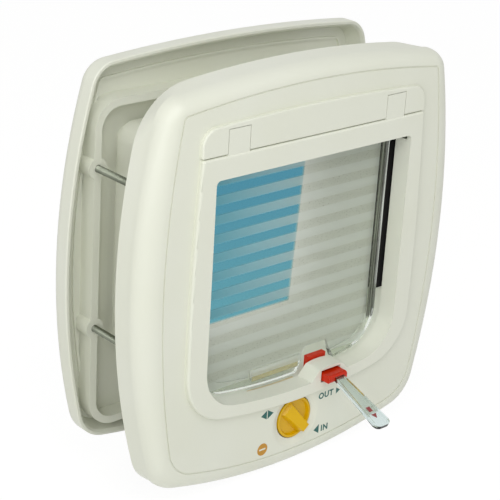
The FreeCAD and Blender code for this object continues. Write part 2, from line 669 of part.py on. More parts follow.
def flap_panel():
    """Clear leaf with a thicker rim, three hinge eyes and a notch round the rocker's finger."""
    front = AXLE_Y - FLAP_RIM / 2
    back = AXLE_Y + FLAP_RIM / 2
    body = prism(flap_outline(0, front), back)
    body = body.cut(prism(flap_outline(FLAP_RIM_WIDTH, front), AXLE_Y - FLAP_LEAF / 2))
    body = body.cut(prism(flap_outline(FLAP_RIM_WIDTH, AXLE_Y + FLAP_LEAF / 2), back))
    m = MAGNET_FRAME
    frame = box(MAGNET_LEFT - m, MAGNET_RIGHT + m, front, back, MAGNET_LOW - m, MAGNET_HIGH + m)
    body = body.fuse(frame.common(prism(flap_outline(0, front), back)))
    centres = (-FLAP_HALF + EYE_LENGTH / 2, 0.0, FLAP_HALF - EYE_LENGTH / 2)
    for x in centres:
        body = body.fuse(bar(EYE_RADIUS, AXLE_Y, AXLE_Z, x - EYE_LENGTH / 2, x + EYE_LENGTH / 2))
    body = body.cut(pocket(front, back))
    body = body.cut(bar(AXLE_RADIUS + AXLE_CLEAR, AXLE_Y, AXLE_Z, -TUNNEL_HALF, TUNNEL_HALF))
    return body.cut(magnet_bar(MAGNET_CLEAR))


def magnet_bar(grow):
    """Bar in the flap's lower edge, grown by a clearance."""
    half = MAGNET_THICK / 2 + grow
    return box(MAGNET_LEFT - grow, MAGNET_RIGHT + grow, AXLE_Y - half, AXLE_Y + half,
               MAGNET_LOW - grow, MAGNET_HIGH + grow)


def flap_axle():
    """Steel rod through the flap's eyes, held in the base's lugs."""
    return bar(AXLE_RADIUS, AXLE_Y, AXLE_Z, -TUNNEL_HALF, TUNNEL_HALF)


def sill_strip(grow):
    """Second magnet, flush in the passage floor below the flap's own, grown by a clearance."""
    y0 = PART_Y + SILL_MAGNET_IN
    y1 = y0 + SILL_MAGNET_DEPTH
    band = prism(tunnel(SILL_MAGNET_THICK + grow, y0 - grow), y1 + grow)
    band = band.cut(prism(tunnel(0, y0 - grow), y1 + grow))
    return band.common(box(MAGNET_LEFT - grow, MAGNET_RIGHT + grow, FACE_Y, 0, -RIM_BOTTOM, 0))


def side_seal(sx):
    """Pile strip on the passage wall beside the flap."""
    ends = sorted((sx * (FLAP_HALF + SEAL_GAP), sx * TUNNEL_HALF))
    front = AXLE_Y - SEAL_FRONT
    return box(ends[0], ends[1], front, front + SEAL_DEPTH, SEAL_LOW, SEAL_TOP)


def indicator_rocker():
    """Red rocker: block under the hood, trunnions, and a finger up into the flap's pocket."""
    left, right = ROCKER_X - ROCKER_HALF, ROCKER_X + ROCKER_HALF
    body = box(left, right, ROCKER_FRONT, ROCKER_BACK, ROCKER_LOW, ROCKER_HIGH)
    nose = []
    for e in body.Edges:
        b = e.BoundBox
        if b.YMax < ROCKER_FRONT + NEAR and b.XLength > ROCKER_HALF:
            nose.append(e)
    body = body.makeFillet(ROCKER_ROUND, nose)
    body = body.fuse(box(left, right, ROCKER_BACK - FINGER_THICK, ROCKER_BACK, ROCKER_LOW, FINGER_TOP))
    reach = ROCKER_HALF + HOOD_CLEAR + PIN_SINK - AXLE_CLEAR
    body = body.fuse(bar(PIN_RADIUS, ROCKER_PIVOT_Y, ROCKER_PIVOT_Z, ROCKER_X - reach, ROCKER_X + reach))
    return body.cut(pointer_blank())


def pointer_plate(inset, low, high, root):
    """Tapered bar along -Y with rounded corners at its free end."""
    near, far = POINTER_ROOT_WIDTH / 2 - inset, POINTER_WIDTH / 2 - inset
    end = -POINTER_LENGTH + inset
    pts = [V(-near, root, low), V(near, root, low), V(near, 0, low), V(far, end, low)]
    pts += [V(-far, end, low), V(-near, 0, low)]
    body = Part.Face(Part.makePolygon(pts + pts[:1])).extrude(V(0, 0, high - low))
    tips = [e for e in body.Edges if e.BoundBox.ZLength > (high - low) / 2 and e.BoundBox.YMax < end + NEAR]
    return body.makeFillet(POINTER_CORNER - inset, tips)


def at_nose(body):
    """Pointer pieces, tilted down and set at the rocker's nose."""
    body.rotate(V(0, 0, 0), V(1, 0, 0), POINTER_TILT)
    body.translate(V(ROCKER_X + POINTER_ASIDE, ROCKER_FRONT, ROCKER_PIVOT_Z - POINTER_DROP))
    return body


def pointer_blank():
    half = POINTER_THICK / 2
    return at_nose(pointer_plate(0, -half, half, POINTER_ROOT))


def indicator_pointer():
    """Clear pointer with a raised rim round a shallow tray."""
    half = POINTER_THICK / 2
    tray = pointer_plate(POINTER_RIM, half - POINTER_RECESS, half + OVER, -POINTER_RIM)
    return pointer_blank().cut(at_nose(tray))


def lock_knob():
    """Turned dish with a rim, a wedge-shaped grip across it and a grooved shaft through the well's floor."""
    back = WELL_FLOOR - KNOB_GAP
    floor = back - KNOB_DISC
    front = floor - KNOB_RIM_HEIGHT
    r = KNOB_RADIUS
    pts = [V(0, back, 0), V(r, back, 0), V(r, front, 0), V(r - KNOB_RIM, front, 0)]
    pts += [V(r - KNOB_RIM - KNOB_BEVEL, floor, 0), V(0, floor, 0)]
    disc = Part.Face(Part.makePolygon(pts + pts[:1])).revolve(V(0, 0, 0), V(0, 1, 0), 360)
    tail, nose = GRIP_TAIL_WIDE / 2, GRIP_NOSE_WIDE / 2
    d = GRIP_DRAFT
    foot = [V(-GRIP_TAIL - d, floor, -tail - d), V(GRIP_NOSE + d, floor, -nose - d)]
    foot += [V(GRIP_NOSE + d, floor, nose + d), V(-GRIP_TAIL - d, floor, tail + d)]
    low, high = floor - GRIP_TAIL_HEIGHT, floor - GRIP_NOSE_HEIGHT
    crest = [V(-GRIP_TAIL, low, -tail), V(GRIP_NOSE, high, -nose)]
    crest += [V(GRIP_NOSE, high, nose), V(-GRIP_TAIL, low, tail)]
    grip = Part.makeLoft([Part.makePolygon(foot + foot[:1]), Part.makePolygon(crest + crest[:1])], True, True)
    rim = Part.makeCylinder(r - KNOB_RIM / 2, GRIP_NOSE_HEIGHT + OVER, V(0, high - OVER, 0), V(0, 1, 0))
    body = disc.fuse(grip.common(rim))
    end = CLIP_Y + CLIP_THICK + SHAFT_END
    body = body.fuse(rod(SHAFT_RADIUS, 0, 0, back, end))
    groove = rod(SHAFT_RADIUS + OVER, 0, 0, CLIP_Y, CLIP_Y + CLIP_THICK)
    body = body.cut(groove.cut(rod(NECK_RADIUS, 0, 0, CLIP_Y, CLIP_Y + CLIP_THICK)))
    body.rotate(V(0, 0, 0), V(0, 1, 0), -GRIP_ANGLE)
    body.translate(V(0, 0, KNOB_Z))
    return body


def knob_clip():
    """Spring clip in the shaft's groove, behind the well's floor."""
    ring = rod(CLIP_RADIUS, 0, KNOB_Z, CLIP_Y, CLIP_Y + CLIP_THICK)
    ring = ring.cut(rod(NECK_RADIUS + SHAFT_CLEAR, 0, KNOB_Z, CLIP_Y, CLIP_Y + CLIP_THICK))
    half = CLIP_MOUTH / 2
    return ring.cut(box(-half, half, CLIP_Y, CLIP_Y + CLIP_THICK, KNOB_Z - CLIP_RADIUS, KNOB_Z))


os.makedirs("parts", exist_ok=True)
MADE = {
    "front_cover": front_cover(),
    "hinge_bar": hinge_bar(),
    "window_bezel": window_bezel(),
    "front_base": front_base(),
    "tunnel_sleeve": tunnel_sleeve(),
    "rear_frame": rear_frame(),
    "side_seal_left": side_seal(-1),
    "side_seal_right": side_seal(1),
    "sill_magnet": sill_strip(0),
    "flap_axle": flap_axle(),
    "flap_panel": flap_panel(),
    "flap_magnet": magnet_bar(0),
    "lock_knob": lock_knob(),
    "knob_clip": knob_clip(),
    "latch_room_side": latch(0),
    "latch_door_side": latch(1),
    "indicator_rocker": indicator_rocker(),
    "indicator_pointer": indicator_pointer(),
}
for screw_name in SCREWS:
    MADE["screw_" + screw_name] = screw(screw_name)
for node, shape in MADE.items():
    made = save(node, shape)
    print(node, "solids", len(made.Solids), "volume %.0f" % made.Volume, "valid", made.isValid())
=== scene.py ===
import math

import bpy
import numpy as np
from mathutils import Matrix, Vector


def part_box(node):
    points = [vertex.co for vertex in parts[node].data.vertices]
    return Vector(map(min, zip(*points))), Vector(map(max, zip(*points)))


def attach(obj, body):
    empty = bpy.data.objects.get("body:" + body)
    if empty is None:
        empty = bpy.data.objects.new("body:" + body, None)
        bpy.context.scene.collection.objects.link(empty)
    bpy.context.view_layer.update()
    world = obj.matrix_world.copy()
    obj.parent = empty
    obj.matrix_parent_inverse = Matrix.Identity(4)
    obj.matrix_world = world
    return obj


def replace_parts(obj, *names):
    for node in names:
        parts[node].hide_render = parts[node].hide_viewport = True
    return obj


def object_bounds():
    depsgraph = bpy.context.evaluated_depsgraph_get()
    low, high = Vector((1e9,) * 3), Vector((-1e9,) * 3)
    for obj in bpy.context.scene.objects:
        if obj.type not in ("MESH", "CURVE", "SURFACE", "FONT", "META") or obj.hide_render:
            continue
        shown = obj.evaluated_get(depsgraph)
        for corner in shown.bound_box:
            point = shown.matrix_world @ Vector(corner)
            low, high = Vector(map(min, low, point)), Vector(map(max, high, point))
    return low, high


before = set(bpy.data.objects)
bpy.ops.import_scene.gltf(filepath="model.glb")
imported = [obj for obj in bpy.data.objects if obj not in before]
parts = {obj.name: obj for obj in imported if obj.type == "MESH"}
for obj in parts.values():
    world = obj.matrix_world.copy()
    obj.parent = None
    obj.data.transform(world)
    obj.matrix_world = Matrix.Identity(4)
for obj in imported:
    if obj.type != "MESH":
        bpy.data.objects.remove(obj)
cad_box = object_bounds()

# The six ivory mouldings: outdoor frame, tunnel, base and cover, with the hinge bar and the bezel.
# Injection-moulded ABS in one ivory, screwed and clipped together. The mould leaves a fine satin
# grain, and the tone drifts a little warmer and cooler over each piece.

IVORY = "#E2E4D8"
IVORY_WARM = "#DDDFCE"
IVORY_ROUGHNESS = 0.40
IVORY_RELIEF = 0.00003
MOULD_GRAIN = 0.0008
TONE_PATCH = 0.045
PLASTIC_IOR = 1.53
PLASTIC_SHINE = 0.5
NOISE_LOW, NOISE_HIGH = 0.3, 0.7


def linear(code):
    """sRGB hex to linear: c/12.92 below 0.04045, else ((c + 0.055) / 1.055) to the power 2.4."""
    c = np.array([int(code[i:i + 2], 16) for i in (1, 3, 5)]) / 255
    rgb = np.where(c <= 0.04045, c / 12.92, ((c + 0.055) / 1.055) ** 2.4)
    return (*rgb.tolist(), 1.0)


def add(tree, kind, inputs=None, **settings):
    """Adds a node, sets its properties, and links or sets its sockets."""
    made = tree.nodes.new("ShaderNode" + kind)
    for name, value in settings.items():
        setattr(made, name, value)
    for name, value in (inputs or {}).items():
        if isinstance(value, bpy.types.NodeSocket):
            tree.links.new(value, made.inputs[name])
        else:
            made.inputs[name].default_value = value
    return made


def noise(tree, place, grain, detail):
    """A noise whose patches are about one grain across."""
    return add(tree, "TexNoise", {"Vector": place, "Scale": 1 / grain, "Detail": detail}).outputs["Fac"]


def blend(tree, share, first, second):
    """The first colour where the share is 0, the second where it is 1; each a hex code or a socket."""
    first, second = [linear(c) if isinstance(c, str) else c for c in (first, second)]
    return add(tree, "Mix", {"Factor": share, 6: first, 7: second}, data_type="RGBA").outputs[2]


def spread(tree, value, low, high, to_low=0.0, to_high=1.0):
    """A value between low and high, carried in proportion to the range from to_low to to_high."""
    return add(tree, "MapRange", {"Value": value, "From Min": low, "From Max": high,
                                  "To Min": to_low, "To Max": to_high}).outputs["Result"]


def blank(name):
    """An empty material's tree, with the Object coordinates that its patterns read."""
    material = bpy.data.materials.new(name)
    material.use_nodes = True
    tree = material.node_tree
    tree.nodes.clear()
    return material, tree, add(tree, "TexCoord").outputs["Object"]


def moulded_plastic(name, colour, shade, roughness, grain, depth, patch=TONE_PATCH, shine=PLASTIC_SHINE):
    """Moulded plastic: slow drift between two tones, fine bump from the mould, uneven gloss."""
    material, tree, place = blank(name)
    drift = noise(tree, place, patch, 2.0)
    fine = noise(tree, place, grain, 3.0)
    bump = add(tree, "Bump", {"Height": fine, "Strength": 0.5, "Distance": depth})
    gloss = spread(tree, drift, NOISE_LOW, NOISE_HIGH, roughness - 0.04, roughness + 0.05)
    skin = add(tree, "BsdfPrincipled", {
        "Base Color": blend(tree, drift, colour, shade), "Roughness": gloss, "IOR": PLASTIC_IOR,
        "Specular IOR Level": shine, "Normal": bump.outputs["Normal"]})
    add(tree, "OutputMaterial", {"Surface": skin.outputs["BSDF"]})
    return material


def finish_part(name, material):
    """Gives a CAD piece its finish in place of the plain one that it came with."""
    mesh = parts[name].data
    mesh.materials.clear()
    mesh.materials.append(material)


# Satin-grained ABS: a broad soft highlight on every rounded edge.
ivory_abs = moulded_plastic("ivory_abs_moulded", IVORY, IVORY_WARM, IVORY_ROUGHNESS, MOULD_GRAIN, IVORY_RELIEF)
for name in ("rear_frame", "tunnel_sleeve", "front_base", "front_cover", "hinge_bar", "window_bezel"):
    finish_part(name, ivory_abs)


# Marks on the face: two-way arrows, OUT and IN with theirs, and the closed sign.
# Pad-printed ink, about a hundredth of a millimetre thick, drawn here a little thicker, straight
# on the cover round the knob, in line with the knob's four positions.

INK_THICK = 0.00005
INK_ROUGHNESS = 0.55
INK_RELIEF = 0.00001
INK_TEAL = "#1F5E57"
INK_ORANGE = "#C08B2A"
FACE_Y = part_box("front_cover")[0][1]
LETTER_HEIGHT = 0.0038
LETTER_BOLD = 0.035
LETTER_SPACING = 1.12
OUT_X, OUT_Z = 0.0168, -0.0796
OUT_ARROW_X, OUT_ARROW_Z = 0.0301, -0.0779
OUT_ARROW_LONG, OUT_ARROW_HIGH = 0.0030, 0.0038
IN_X, IN_Z = 0.0205, -0.1003
IN_ARROW_X, IN_ARROW_Z = 0.0187, -0.0981
IN_ARROW_LONG, IN_ARROW_HIGH = 0.0039, 0.0056
TWO_WAY_X, TWO_WAY_Z = -0.0214, -0.0770
TWO_WAY_LONG, TWO_WAY_HIGH = 0.0042, 0.0053
TWO_WAY_SLIT_HALF = 0.0003
CLOSED_X, CLOSED_Z, CLOSED_RADIUS = -0.0234, -0.0975, 0.0036
CLOSED_ARC_POINTS = 33
BAR_HALF_HEIGHT = 0.0005
BAR_HALF_LENGTH = 0.0023


def link(piece, body):
    """Puts a new piece in the scene, riding on a body."""
    bpy.context.scene.collection.objects.link(piece)
    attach(piece, body)
    return piece


def mesh_piece(name, points, faces, material, body):
    """A new piece from points and faces, riding on a body."""
    mesh = bpy.data.meshes.new(name)
    mesh.from_pydata(points.tolist(), [], [list(f) for f in faces])
    mesh.update()
    mesh.materials.append(material)
    return link(bpy.data.objects.new(name, mesh), body)


def ink(name, colour):
    """Matt pad-printing ink: flat and even, with a trace of the grain below."""
    return moulded_plastic(name, colour, colour, INK_ROUGHNESS, MOULD_GRAIN, INK_RELIEF)


def face_print(name, outline, material):
    """A flat print: a closed outline in the face's plane, pushed out towards -Y by the ink's thickness."""
    ring = np.array(outline, float)
    n = len(ring)
    front = np.column_stack([ring[:, 0], np.full(n, FACE_Y - INK_THICK), ring[:, 1]])
    back = np.column_stack([ring[:, 0], np.full(n, FACE_Y), ring[:, 1]])
    turn = np.sum(ring[:, 0] * np.roll(ring[:, 1], -1) - np.roll(ring[:, 0], -1) * ring[:, 1])
    order = list(range(n)) if turn > 0 else list(range(n - 1, -1, -1))
    faces = [order, [n + i for i in reversed(order)]]
    faces += [[order[i - 1], n + order[i - 1], n + order[i], order[i]] for i in range(n)]
    mesh_piece(name, np.vstack([front, back]), faces, material, "frame")


def lettering(name, word, x, z, material):
    """A word in the built-in plain letters, made a mesh and scaled to the letters' height,
    with its left end and its foot as given."""
    curve = bpy.data.curves.new(name, "FONT")
    curve.body = word
    curve.extrude = INK_THICK / 2 / LETTER_HEIGHT
    curve.space_character = LETTER_SPACING
    curve.offset = LETTER_BOLD
    maker = bpy.data.objects.new(name + "_maker", curve)
    bpy.context.scene.collection.objects.link(maker)
    mesh = bpy.data.meshes.new_from_object(maker)
    bpy.data.objects.remove(maker)
    flat = np.empty(len(mesh.vertices) * 3)
    mesh.vertices.foreach_get("co", flat)
    flat = flat.reshape(-1, 3)
    low, high = flat.min(0), flat.max(0)
    scale = LETTER_HEIGHT / (high[1] - low[1])
    placed = np.column_stack([
        x + (flat[:, 0] - low[0]) * scale,
        FACE_Y - INK_THICK / 2 - flat[:, 2] * LETTER_HEIGHT,
        z + (flat[:, 1] - low[1]) * scale])
    mesh.vertices.foreach_set("co", placed.ravel())
    mesh.update()
    mesh.materials.clear()
    mesh.materials.append(material)
    link(bpy.data.objects.new(name, mesh), "frame")


def arrowhead(name, x, z, long, high, way):
    """A solid triangle whose point lies its length away from its upright base, to the side that way gives."""
    face_print(name, [(x, z - high / 2), (x, z + high / 2), (x + way * long, z)], teal_ink)


def closed_sign():
    """Disc less a bar: two half discs joined at the bar's ends, each an arc and a notch."""
    r, h, w = CLOSED_RADIUS, BAR_HALF_HEIGHT, BAR_HALF_LENGTH
    for name, way in (("upper", 1), ("lower", -1)):
        a = np.linspace(0, math.pi, CLOSED_ARC_POINTS)
        arc = np.column_stack([np.cos(a) * r, np.sin(a) * r])
        notch = np.array([(-w, 0), (-w, h), (w, h), (w, 0)])
        half_disc = np.vstack([arc, notch])
        outline = np.column_stack([CLOSED_X + half_disc[:, 0], CLOSED_Z + way * half_disc[:, 1]])
        face_print("mark_closed_" + name, outline, orange_ink)


# Dark teal ink: crisp edges and no gloss against the satin face.
teal_ink = ink("teal_pad_print_ink", INK_TEAL)
lettering("mark_out_letters", "OUT", OUT_X, OUT_Z, teal_ink)
arrowhead("mark_out_arrow", OUT_ARROW_X, OUT_ARROW_Z, OUT_ARROW_LONG, OUT_ARROW_HIGH, 1)
lettering("mark_in_letters", "IN", IN_X, IN_Z, teal_ink)
arrowhead("mark_in_arrow", IN_ARROW_X, IN_ARROW_Z, IN_ARROW_LONG, IN_ARROW_HIGH, -1)
arrowhead("mark_both_left", TWO_WAY_X - TWO_WAY_SLIT_HALF, TWO_WAY_Z, TWO_WAY_LONG, TWO_WAY_HIGH, -1)
arrowhead("mark_both_right", TWO_WAY_X + TWO_WAY_SLIT_HALF, TWO_WAY_Z, TWO_WAY_LONG, TWO_WAY_HIGH, 1)

# Orange ink for the closed sign: a filled disc with a bare bar across it.
orange_ink = ink("orange_pad_print_ink", INK_ORANGE)
closed_sign()


# The flap's axle, a ground steel rod through the flap's eyes, and the spring clip behind the knob.
# Both are plain steel parts that are only pushed in: the rod stays in the base's two lugs.

STEEL = "#A9ABA6"
STEEL_DARK = "#7E807B"
STEEL_ROUGHNESS = 0.28
STEEL_PATCH = 0.004


def bare_metal(name, colour, shade, roughness, patch):
    """Bare or plated metal: its tone and its gloss drift together in small clouds."""
    material, tree, place = blank(name)
    cloud = noise(tree, place, patch, 4.0)
    gloss = spread(tree, cloud, NOISE_LOW, NOISE_HIGH, roughness - 0.06, roughness + 0.08)
    skin = add(tree, "BsdfPrincipled", {
        "Base Color": blend(tree, cloud, colour, shade), "Metallic": 1.0, "Roughness": gloss})
    add(tree, "OutputMaterial", {"Surface": skin.outputs["BSDF"]})
    return material


# Ground steel: an even grey shine along the rod.
ground_steel = bare_metal("axle_steel_ground", STEEL, STEEL_DARK, STEEL_ROUGHNESS, STEEL_PATCH)
finish_part("flap_axle", ground_steel)
finish_part("knob_clip", ground_steel)


# The flap: one clear moulding with a thick rim, hinge eyes along its top and a notch below.
# Polystyrene, with bands of frosting right across it so that it can be seen; it hangs on the axle.
# The blue backdrop seen through it is painted here as colour in the sheet's upper left part.

STYRENE_IOR = 1.45
BAND_PITCH = 0.01033
BAND_CLEAR = 0.0051
BAND_TOP = 0.0536
LEAF_HALF = 0.0594
LEAF_LOW = -0.0575
CLEAR_PALE = "#F4F8F6"
CLEAR_GREY = "#CFD3C8"
CLEAR_ROUGHNESS = 0.06
FROST_WHITE = "#D9DED6"
# The painted blue as the frosted bands show it.
FROST_PAINTED_BLUE = "#60A8B6"
FROST_GRAIN = 0.0006
FROST_ROUGH_LOW, FROST_ROUGH_HIGH = 0.30, 0.42
FROST_PASSES = 0.72
VEIL_SHARE = 0.85
# Painted blue: the backdrop seen through the clear sheet, painted as colour on its upper left part, deeper
# towards the top.
PAINTED_BLUE_DEEP = "#35869D"
PAINTED_BLUE_LIGHT = "#529BA8"
PAINTED_BLUE_EDGE_X = -0.0005
PAINTED_BLUE_EDGE_LEAN = 0.0643
PAINTED_BLUE_LOW = -0.0185
PAINTED_BLUE_SOFT = 0.0004
PAINTED_BLUE_FADE = 0.55
# The rim's clear colour, and the dark lines painted on its right side for the black strip seen through it.
RIM_LIGHT = "#DCE1D9"
RIM_PAINTED_DARK = "#4E504B"
RIM_LINE = 0.0009
RIM_LINE_LENGTHENED = 0.01
RIM_LINES_LOW = -0.045
LINE_LOW, LINE_HIGH = 0.42, 0.58


def calc(tree, operation, *values):
    """One Math node's result."""
    return add(tree, "Math", dict(enumerate(values)), operation=operation).outputs[0]


def see_through(tree, glass, colour):
    """Clear plastic that lets lamplight on to what lies behind it."""
    path = add(tree, "LightPath")
    pane = add(tree, "BsdfTransparent", {"Color": linear(colour)})
    both = add(tree, "MixShader", {
        0: path.outputs["Is Shadow Ray"], 1: glass.outputs["BSDF"], 2: pane.outputs["BSDF"]})
    add(tree, "OutputMaterial", {"Surface": both.outputs["Shader"]})


def painted_rim_lines(tree, place, axes):
    """Light and dark lines painted upright on the right rim, standing for the black strip's picture that the
    rim bends.
    """
    drawn = add(tree, "Mapping", {"Vector": place, "Scale": (1.0, 1.0, RIM_LINE_LENGTHENED)})
    line = noise(tree, drawn.outputs["Vector"], RIM_LINE, 2.0)
    sharp = spread(tree, line, LINE_LOW, LINE_HIGH)
    beside = calc(tree, "GREATER_THAN", axes["X"], LEAF_HALF)
    above = calc(tree, "GREATER_THAN", axes["Z"], RIM_LINES_LOW)
    # Dark lines painted where the rim shows the black strip.
    dark = calc(tree, "MULTIPLY", sharp, calc(tree, "MULTIPLY", beside, above))
    return blend(tree, dark, RIM_LIGHT, RIM_PAINTED_DARK)


def painted_blue_mask(tree, axes, across):
    """Where the blue seen through the sheet is painted: 1 on the leaf left of a slightly leaning line and above
    a level one, both a little soft.
    """
    edge_x = calc(tree, "MULTIPLY_ADD", axes["Z"], PAINTED_BLUE_EDGE_LEAN, PAINTED_BLUE_EDGE_X)
    left = spread(tree, calc(tree, "SUBTRACT", edge_x, axes["X"]), -PAINTED_BLUE_SOFT, PAINTED_BLUE_SOFT)
    above = spread(tree, axes["Z"], PAINTED_BLUE_LOW - PAINTED_BLUE_SOFT, PAINTED_BLUE_LOW + PAINTED_BLUE_SOFT)
    return calc(tree, "MULTIPLY", calc(tree, "MULTIPLY", left, above), across)


def banded_sheet():
    """Clear where the distance to a band's middle is under half its width, frosted elsewhere on the leaf.
    In the upper left the clear bands carry the painted blue of the backdrop seen through them, elsewhere they
    are slightly hazy; the frosted ones take the painted blue more weakly the further right they lie."""
    material, tree, place = blank("flap_polystyrene_banded")
    axes = add(tree, "SeparateXYZ", {"Vector": place}).outputs
    steps = calc(tree, "DIVIDE", calc(tree, "SUBTRACT", axes["Z"], BAND_TOP), BAND_PITCH)
    off = calc(tree, "ABSOLUTE", calc(tree, "SUBTRACT", steps, calc(tree, "ROUND", steps)))
    band = calc(tree, "GREATER_THAN", off, BAND_CLEAR / BAND_PITCH / 2)
    across = calc(tree, "LESS_THAN", calc(tree, "ABSOLUTE", axes["X"]), LEAF_HALF)
    leaf = calc(tree, "MULTIPLY", across, calc(tree, "GREATER_THAN", axes["Z"], LEAF_LOW))
    frost = calc(tree, "MULTIPLY", band, leaf)
    # The painted blue: colour standing for the backdrop seen through the sheet.
    painted_blue_share = painted_blue_mask(tree, axes, across)
    veil = calc(tree, "MULTIPLY", leaf, calc(tree, "SUBTRACT", 1.0, painted_blue_share))

    # Painted blue, deeper towards the top.
    rise = spread(tree, axes["Z"], PAINTED_BLUE_LOW, BAND_TOP)
    blue = blend(tree, rise, PAINTED_BLUE_LIGHT, PAINTED_BLUE_DEEP)
    # The rim with its painted dark lines; the leaf's clear bands in grey.
    plain = blend(tree, veil, painted_rim_lines(tree, place, axes), CLEAR_GREY)
    clear = blend(tree, painted_blue_share, plain, blue)
    fade = spread(tree, axes["X"], -LEAF_HALF, 0.0, 1.0, PAINTED_BLUE_FADE)
    # The frosted bands take the painted blue, less of it further right.
    white = blend(tree, calc(tree, "MULTIPLY", painted_blue_share, fade), FROST_WHITE, FROST_PAINTED_BLUE)
    milky = blend(tree, frost, clear, white)

    grit = noise(tree, place, FROST_GRAIN, 2.0)
    etched = spread(tree, grit, NOISE_LOW, NOISE_HIGH, FROST_ROUGH_LOW, FROST_ROUGH_HIGH)
    hazy = calc(tree, "MAXIMUM", frost, calc(tree, "MULTIPLY", veil, VEIL_SHARE))
    rough = add(tree, "Mix", {"Factor": hazy, 2: CLEAR_ROUGHNESS, 3: etched}, data_type="FLOAT")
    sheet = add(tree, "BsdfPrincipled", {
        "Base Color": milky, "Roughness": rough.outputs[0], "IOR": STYRENE_IOR,
        "Transmission Weight": spread(tree, hazy, 0.0, 1.0, 1.0, FROST_PASSES)})
    see_through(tree, sheet, CLEAR_PALE)
    return material


# Clear and frosted polystyrene: sharp bands, bright lines where the thick rim bends the light, painted dark
# lines on the right rim, and the painted blue of the backdrop in the upper left.
finish_part("flap_panel", banded_sheet())


# Two ferrite bar magnets, one in the flap's edge and one in the passage floor below it.
# Sintered bars in a thin tan jacket, pressed into their pockets.

TAN = "#E2D3AC"
TAN_DARK = "#CFBD91"
TAN_ROUGHNESS = 0.55
TAN_GRAIN = 0.0007
TAN_RELIEF = 0.00002
TAN_MOTTLE = 0.004

# Tan jacket: chalky and slightly mottled.
tan_jacket = moulded_plastic("magnet_jacket_tan", TAN, TAN_DARK, TAN_ROUGHNESS, TAN_GRAIN, TAN_RELIEF,
                             patch=TAN_MOTTLE)
finish_part("flap_magnet", tan_jacket)
finish_part("sill_magnet", tan_jacket)


# Two draught strips beside the flap: black nylon pile on a woven back, stuck to the passage walls.
# The pile stands in fine upright tufts, so the strip looks deep black with dull ribs.

PILE_BLACK = "#050504"
PILE_WORN = "#131311"
PILE_ROUGHNESS = 0.85
TUFT_PITCH = 0.0009
TUFT_LENGTHENED = 0.18
TUFT_RELIEF = 0.0005


def pile():
    """Upright tufts: a stretched noise as bump and as dull lighter tips, with a trace of sheen."""
    material, tree, place = blank("draught_strip_nylon_pile")
    squeezed = add(tree, "Mapping", {"Vector": place, "Scale": (1.0, 1.0, TUFT_LENGTHENED)})
    tuft = noise(tree, squeezed.outputs["Vector"], TUFT_PITCH, 3.0)
    bump = add(tree, "Bump", {"Height": tuft, "Strength": 0.9, "Distance": TUFT_RELIEF})
    skin = add(tree, "BsdfPrincipled", {
        "Base Color": blend(tree, tuft, PILE_BLACK, PILE_WORN), "Roughness": PILE_ROUGHNESS,
        "Sheen Weight": 0.04, "Specular IOR Level": 0.2, "Sheen Roughness": 0.5,
        "Normal": bump.outputs["Normal"]})
    add(tree, "OutputMaterial", {"Surface": skin.outputs["BSDF"]})
    return material


# Nylon pile: swallows light, with a faint sheen along the tufts.
black_pile = pile()
finish_part("side_seal_left", black_pile)
finish_part("side_seal_right", black_pile)


# The two latches: flat blades that the knob's cam lifts beside the flap's lower edge.
# Punched from white acetal and free to slide in the base's guides.

LATCH_WHITE = "#DADACD"
LATCH_SHADE = "#D2D2C4"
LATCH_ROUGHNESS = 0.45
LATCH_RELIEF = 0.00002

# Acetal: a little duller and waxier than the frame.
white_acetal = moulded_plastic("latch_acetal_white", LATCH_WHITE, LATCH_SHADE, LATCH_ROUGHNESS, MOULD_GRAIN,
                               LATCH_RELIEF)
finish_part("latch_room_side", white_acetal)
finish_part("latch_door_side", white_acetal)


# The passage indicator: a red rocker on two trunnions in the bezel's hood, and its clear pointer.
# ABS and polystyrene; the pointer is pushed into the rocker's nose and carries a red printed sign.

SIGNAL_RED = "#CE2A00"
SIGNAL_RED_DEEP = "#B92000"
ROCKER_ROUGHNESS = 0.26
ROCKER_RELIEF = 0.00001
ROCKER_SHINE = 0.25
POINTER_CLEAR = "#D2DFDD"
POINTER_ROUGHNESS = 0.05
POINTER_RIPPLE = 0.006
RIPPLE_RELIEF = 0.0002
POINTER_TILT = math.radians(21.3)
NOSE_AT = (0.0222, -0.0290, -0.0639)
TRAY_FLOOR = 0.0003
PRINT_LIFT = 0.00001
PRINT_RED = "#8E3A3A"
BAR_NEAR, BAR_FAR = 0.0238, 0.0273
BAR_LEFT, BAR_RIGHT = -0.0012, 0.0016
ARROW_NEAR, ARROW_FAR = 0.0290, 0.0322
ARROW_LEFT, ARROW_MIDDLE, ARROW_RIGHT = -0.0018, 0.0002, 0.0022

# Glossy red ABS: deep colour with small sharp highlights.
red_abs = moulded_plastic("rocker_abs_red", SIGNAL_RED, SIGNAL_RED_DEEP, ROCKER_ROUGHNESS, MOULD_GRAIN,
                          ROCKER_RELIEF, shine=ROCKER_SHINE)
finish_part("indicator_rocker", red_abs)


def clear_pointer():
    """Clear moulding: smooth, with slow ripples that bend its highlights."""
    material, tree, place = blank("pointer_polystyrene_clear")
    ripple = noise(tree, place, POINTER_RIPPLE, 1.0)
    bump = add(tree, "Bump", {"Height": ripple, "Strength": 0.3, "Distance": RIPPLE_RELIEF})
    glass = add(tree, "BsdfPrincipled", {
        "Base Color": linear(POINTER_CLEAR), "Roughness": POINTER_ROUGHNESS, "IOR": STYRENE_IOR,
        "Transmission Weight": 1.0, "Normal": bump.outputs["Normal"]})
    see_through(tree, glass, POINTER_CLEAR)
    return material


# Clear polystyrene: bright rim lines round a see-through tray.
finish_part("indicator_pointer", clear_pointer())


